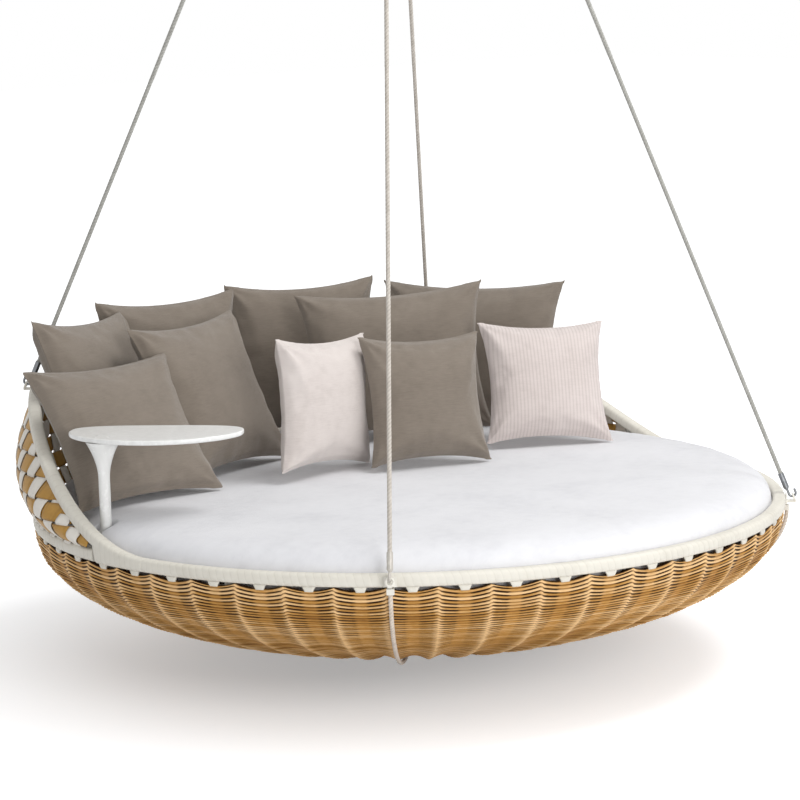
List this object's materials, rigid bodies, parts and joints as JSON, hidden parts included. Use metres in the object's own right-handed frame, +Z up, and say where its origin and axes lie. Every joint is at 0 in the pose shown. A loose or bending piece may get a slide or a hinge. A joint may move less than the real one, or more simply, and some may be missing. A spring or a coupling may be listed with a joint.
{
  "type": "hanging swing bed",
  "caption": "Round hanging swing bed with a woven bowl, a raised chequered back, a round mattress, scatter cushions and a swivelling side table, held by ropes.",
  "frame": {"origin": "in the ceiling plane, straight above the middle of the level rim", "axes": "+Z up, -Y towards the open front, +Y towards the raised back, +X to the right of someone facing the back"},
  "size_m": [2.2052, 2.242, 2.0963],
  "materials": {
    "ceiling_steel": "satin",
    "rope_fittings": "satin",
    "hanging_rope": "matt laid rope",
    "dark_steel": "satin",
    "pale_paint": "satin",
    "screws": "satin",
    "frame": "satin",
    "bearer_wood": "plain",
    "deck_wood": "plain",
    "bowl_cord": "matt woven cord",
    "chequered_strap": "matt woven strap in two colours",
    "pale_strap": "matt wound strap",
    "sling_rope": "matt laid rope",
    "mattress_cloth": "fine matt cloth",
    "beige_cloth": "fine matt cloth",
    "striped_cloth": "fine matt cloth with faint stripes",
    "taupe_cloth": "coarse matt cloth",
    "socket_metal": "satin",
    "table_paint": "satin"
  },
  "bodies": {
    "ceiling": {"ceiling_plates": "ceiling_steel", "ceiling_hook_fl": "ceiling_steel", "ceiling_hook_fr": "ceiling_steel", "ceiling_hook_bl": "ceiling_steel", "ceiling_hook_br": "ceiling_steel"},
    "bed": {"rim_hook_fl": "dark_steel", "rim_hook_fr": "dark_steel", "rim_hook_bl": "dark_steel", "rim_hook_br": "dark_steel", "rim_bracket_fl": "pale_paint", "rim_bracket_fr": "pale_paint", "rim_bracket_bl": "pale_paint", "rim_bracket_br": "pale_paint", "bracket_screws": "pale_paint", "rim_tube_front": "frame", "rim_tube_back": "frame", "lower_rail": "frame", "back_posts": "frame", "bowl_ribs": "frame", "base_plate": "frame", "bearer_ring": "frame", "deck_bearers": "bearer_wood", "deck_left": "deck_wood", "deck_right": "deck_wood", "bowl_weave": "bowl_cord", "back_weave": "chequered_strap", "rim_wrap_front": "pale_strap", "rim_wrap_back": "pale_strap", "lower_band": "pale_strap", "rim_ties": "pale_strap", "sling_a": "sling_rope", "sling_b": "sling_rope", "sling_lugs": "pale_paint", "mattress": "mattress_cloth", "cushion_a": "taupe_cloth", "cushion_b": "taupe_cloth", "cushion_c": "taupe_cloth", "cushion_d": "taupe_cloth", "cushion_e": "taupe_cloth", "cushion_f": "taupe_cloth", "cushion_g": "taupe_cloth", "cushion_h": "beige_cloth", "cushion_i": "taupe_cloth", "cushion_j": "striped_cloth", "table_socket": "socket_metal", "socket_screws": "screws"},
    "rope_fl": {"rope_eye_fl": "rope_fittings", "rope_fl": "hanging_rope"},
    "rope_fr": {"rope_eye_fr": "rope_fittings", "rope_fr": "hanging_rope"},
    "rope_bl": {"rope_eye_bl": "rope_fittings", "rope_bl": "hanging_rope"},
    "rope_br": {"rope_eye_br": "rope_fittings", "rope_br": "hanging_rope"},
    "table": {"table_post": "table_paint", "table_top": "table_paint", "table_screws": "table_paint"}
  },
  "joints": [
    {"name": "swing", "type": "hinge", "parent": "ceiling", "child": "bed", "pos_m": [0, 0.108, 1.23], "axis": [1, 0, 0], "range_deg": [-4, 4]},
    {"name": "rope_fl_turn", "type": "hinge", "parent": "ceiling", "child": "rope_fl", "pos_m": [-0.35335, -0.36847, -0.075], "axis": [1, 0, 0], "range_deg": [-7.57, 7.57], "deforming": ["rope_fl"]},
    {"name": "rope_fr_turn", "type": "hinge", "parent": "ceiling", "child": "rope_fr", "pos_m": [0.35335, -0.36847, -0.075], "axis": [1, 0, 0], "range_deg": [-7.57, 7.57], "deforming": ["rope_fr"]},
    {"name": "rope_bl_turn", "type": "hinge", "parent": "ceiling", "child": "rope_bl", "pos_m": [-0.41339, 0.41339, -0.075], "axis": [1, 0, 0], "range_deg": [-8.44, 8.44], "deforming": ["rope_bl"]},
    {"name": "rope_br_turn", "type": "hinge", "parent": "ceiling", "child": "rope_br", "pos_m": [0.41339, 0.41339, -0.075], "axis": [1, 0, 0], "range_deg": [-8.44, 8.44], "deforming": ["rope_br"]},
    {"name": "table_swivel", "type": "hinge", "parent": "bed", "child": "table", "pos_m": [-1.00148, 0.12297, -1.44], "axis": [0, 0, 1], "range_deg": [-120, 0]}
  ],
  "couplings": [
    {"joint": "rope_fl_turn", "follows": "swing", "ratio": 1.8686},
    {"joint": "rope_fr_turn", "follows": "swing", "ratio": 1.8686},
    {"joint": "rope_bl_turn", "follows": "swing", "ratio": 2.0842},
    {"joint": "rope_br_turn", "follows": "swing", "ratio": 2.0842}
  ]
}
